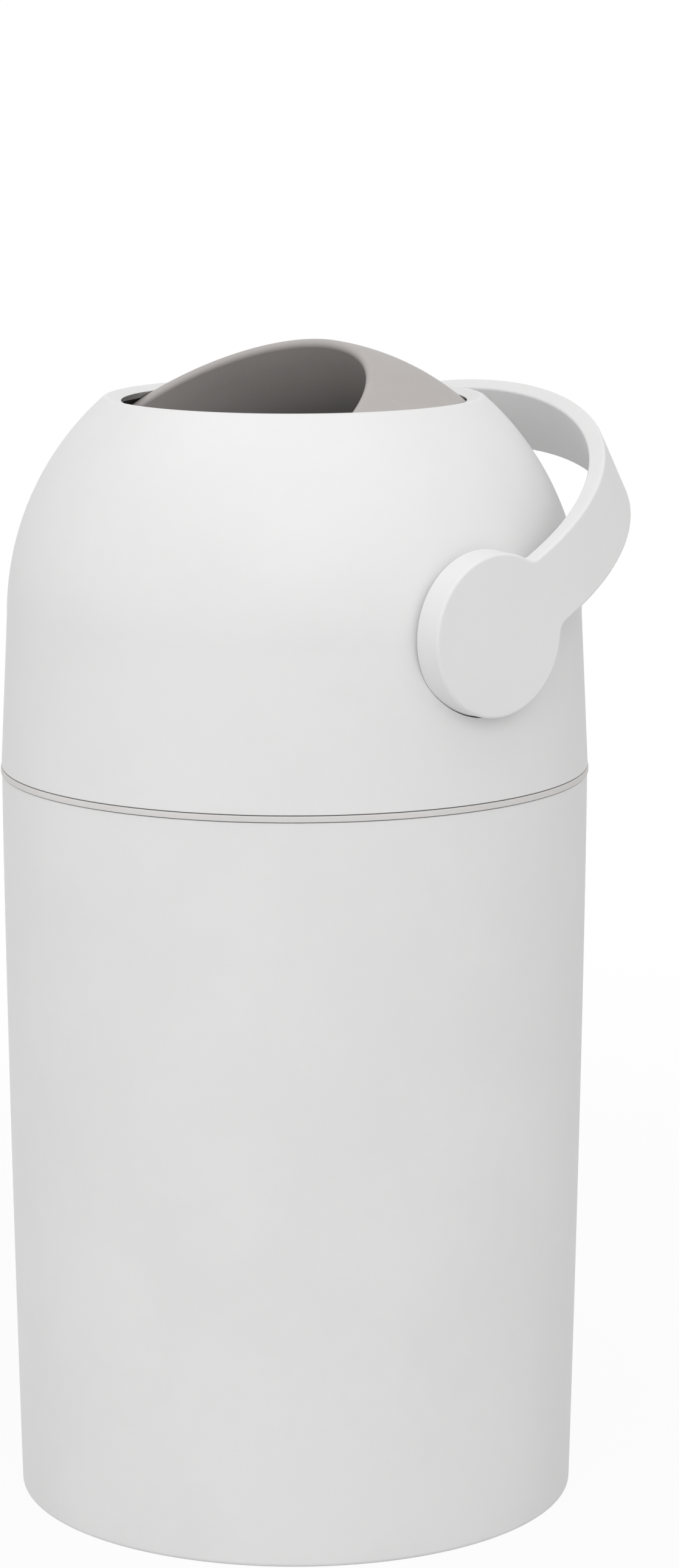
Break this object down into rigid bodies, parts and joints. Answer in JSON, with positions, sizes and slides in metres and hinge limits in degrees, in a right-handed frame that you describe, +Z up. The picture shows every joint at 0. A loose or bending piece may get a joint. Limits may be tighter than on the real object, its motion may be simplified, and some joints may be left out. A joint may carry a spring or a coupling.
{
  "type": "nappy bin",
  "caption": "Tall round nappy bin: a flip-over drum with a sliding piston in a domed head, turned by a bow handle, drops nappies into the bucket below.",
  "frame": {"origin": "middle of the flat pad under the bucket, on the surface that the bin stands on", "axes": "+Z up along the bucket's axis, +X out through the right-hand pivot, +Y towards the side that the handle hangs on"},
  "size_m": [0.2598, 0.2566, 0.4918],
  "materials": {
    "white_plastic": "fine satin texture",
    "grey_plastic": "fine satin texture",
    "pale_grey_plastic": "satin",
    "seal_rubber": "matt",
    "steel": "zinc plated"
  },
  "bodies": {
    "bucket": {"bucket": "white_plastic"},
    "bag_ring": {"bag_ring": "pale_grey_plastic"},
    "lid_seal": {"lid_seal": "seal_rubber"},
    "head": {"head_shell": "white_plastic", "drum_cradle": "grey_plastic", "top_drum_seal": "seal_rubber", "bottom_drum_seal": "seal_rubber", "pivot_bush_right": "pale_grey_plastic", "pivot_bush_left": "pale_grey_plastic", "cradle_screw_1": "steel", "cradle_screw_2": "steel", "cradle_screw_3": "steel", "cradle_screw_4": "steel"},
    "drum": {"drum_top_half": "grey_plastic", "drum_bottom_half": "grey_plastic", "handle": "white_plastic", "hub_screw_right": "steel", "hub_screw_left": "steel"},
    "piston": {"piston_top_cup": "pale_grey_plastic", "piston_bottom_cup": "pale_grey_plastic", "piston_weight": "steel", "piston_top_wiper": "seal_rubber", "piston_bottom_wiper": "seal_rubber"}
  },
  "joints": [
    {"name": "ring_lift", "type": "slide", "parent": "bucket", "child": "bag_ring", "axis": [0, 0, 1], "range_m": [0, 0.12]},
    {"name": "lid_lift", "type": "slide", "parent": "bag_ring", "child": "lid_seal", "axis": [0, 0, 1], "range_m": [0, 0.18]},
    {"name": "lid_turn", "type": "hinge", "parent": "lid_seal", "child": "head", "pos_m": [0, 0, 0.3147], "axis": [0, 0, -1], "range_deg": [0, 18]},
    {"name": "drum_flip", "type": "hinge", "parent": "head", "child": "drum", "pos_m": [0, 0, 0.38315], "axis": [1, 0, 0], "range_deg": [-30, 150]},
    {"name": "piston_slide", "type": "slide", "parent": "drum", "child": "piston", "axis": [0, -0.5, 0.866], "range_m": [0, 0.1139]}
  ]
}
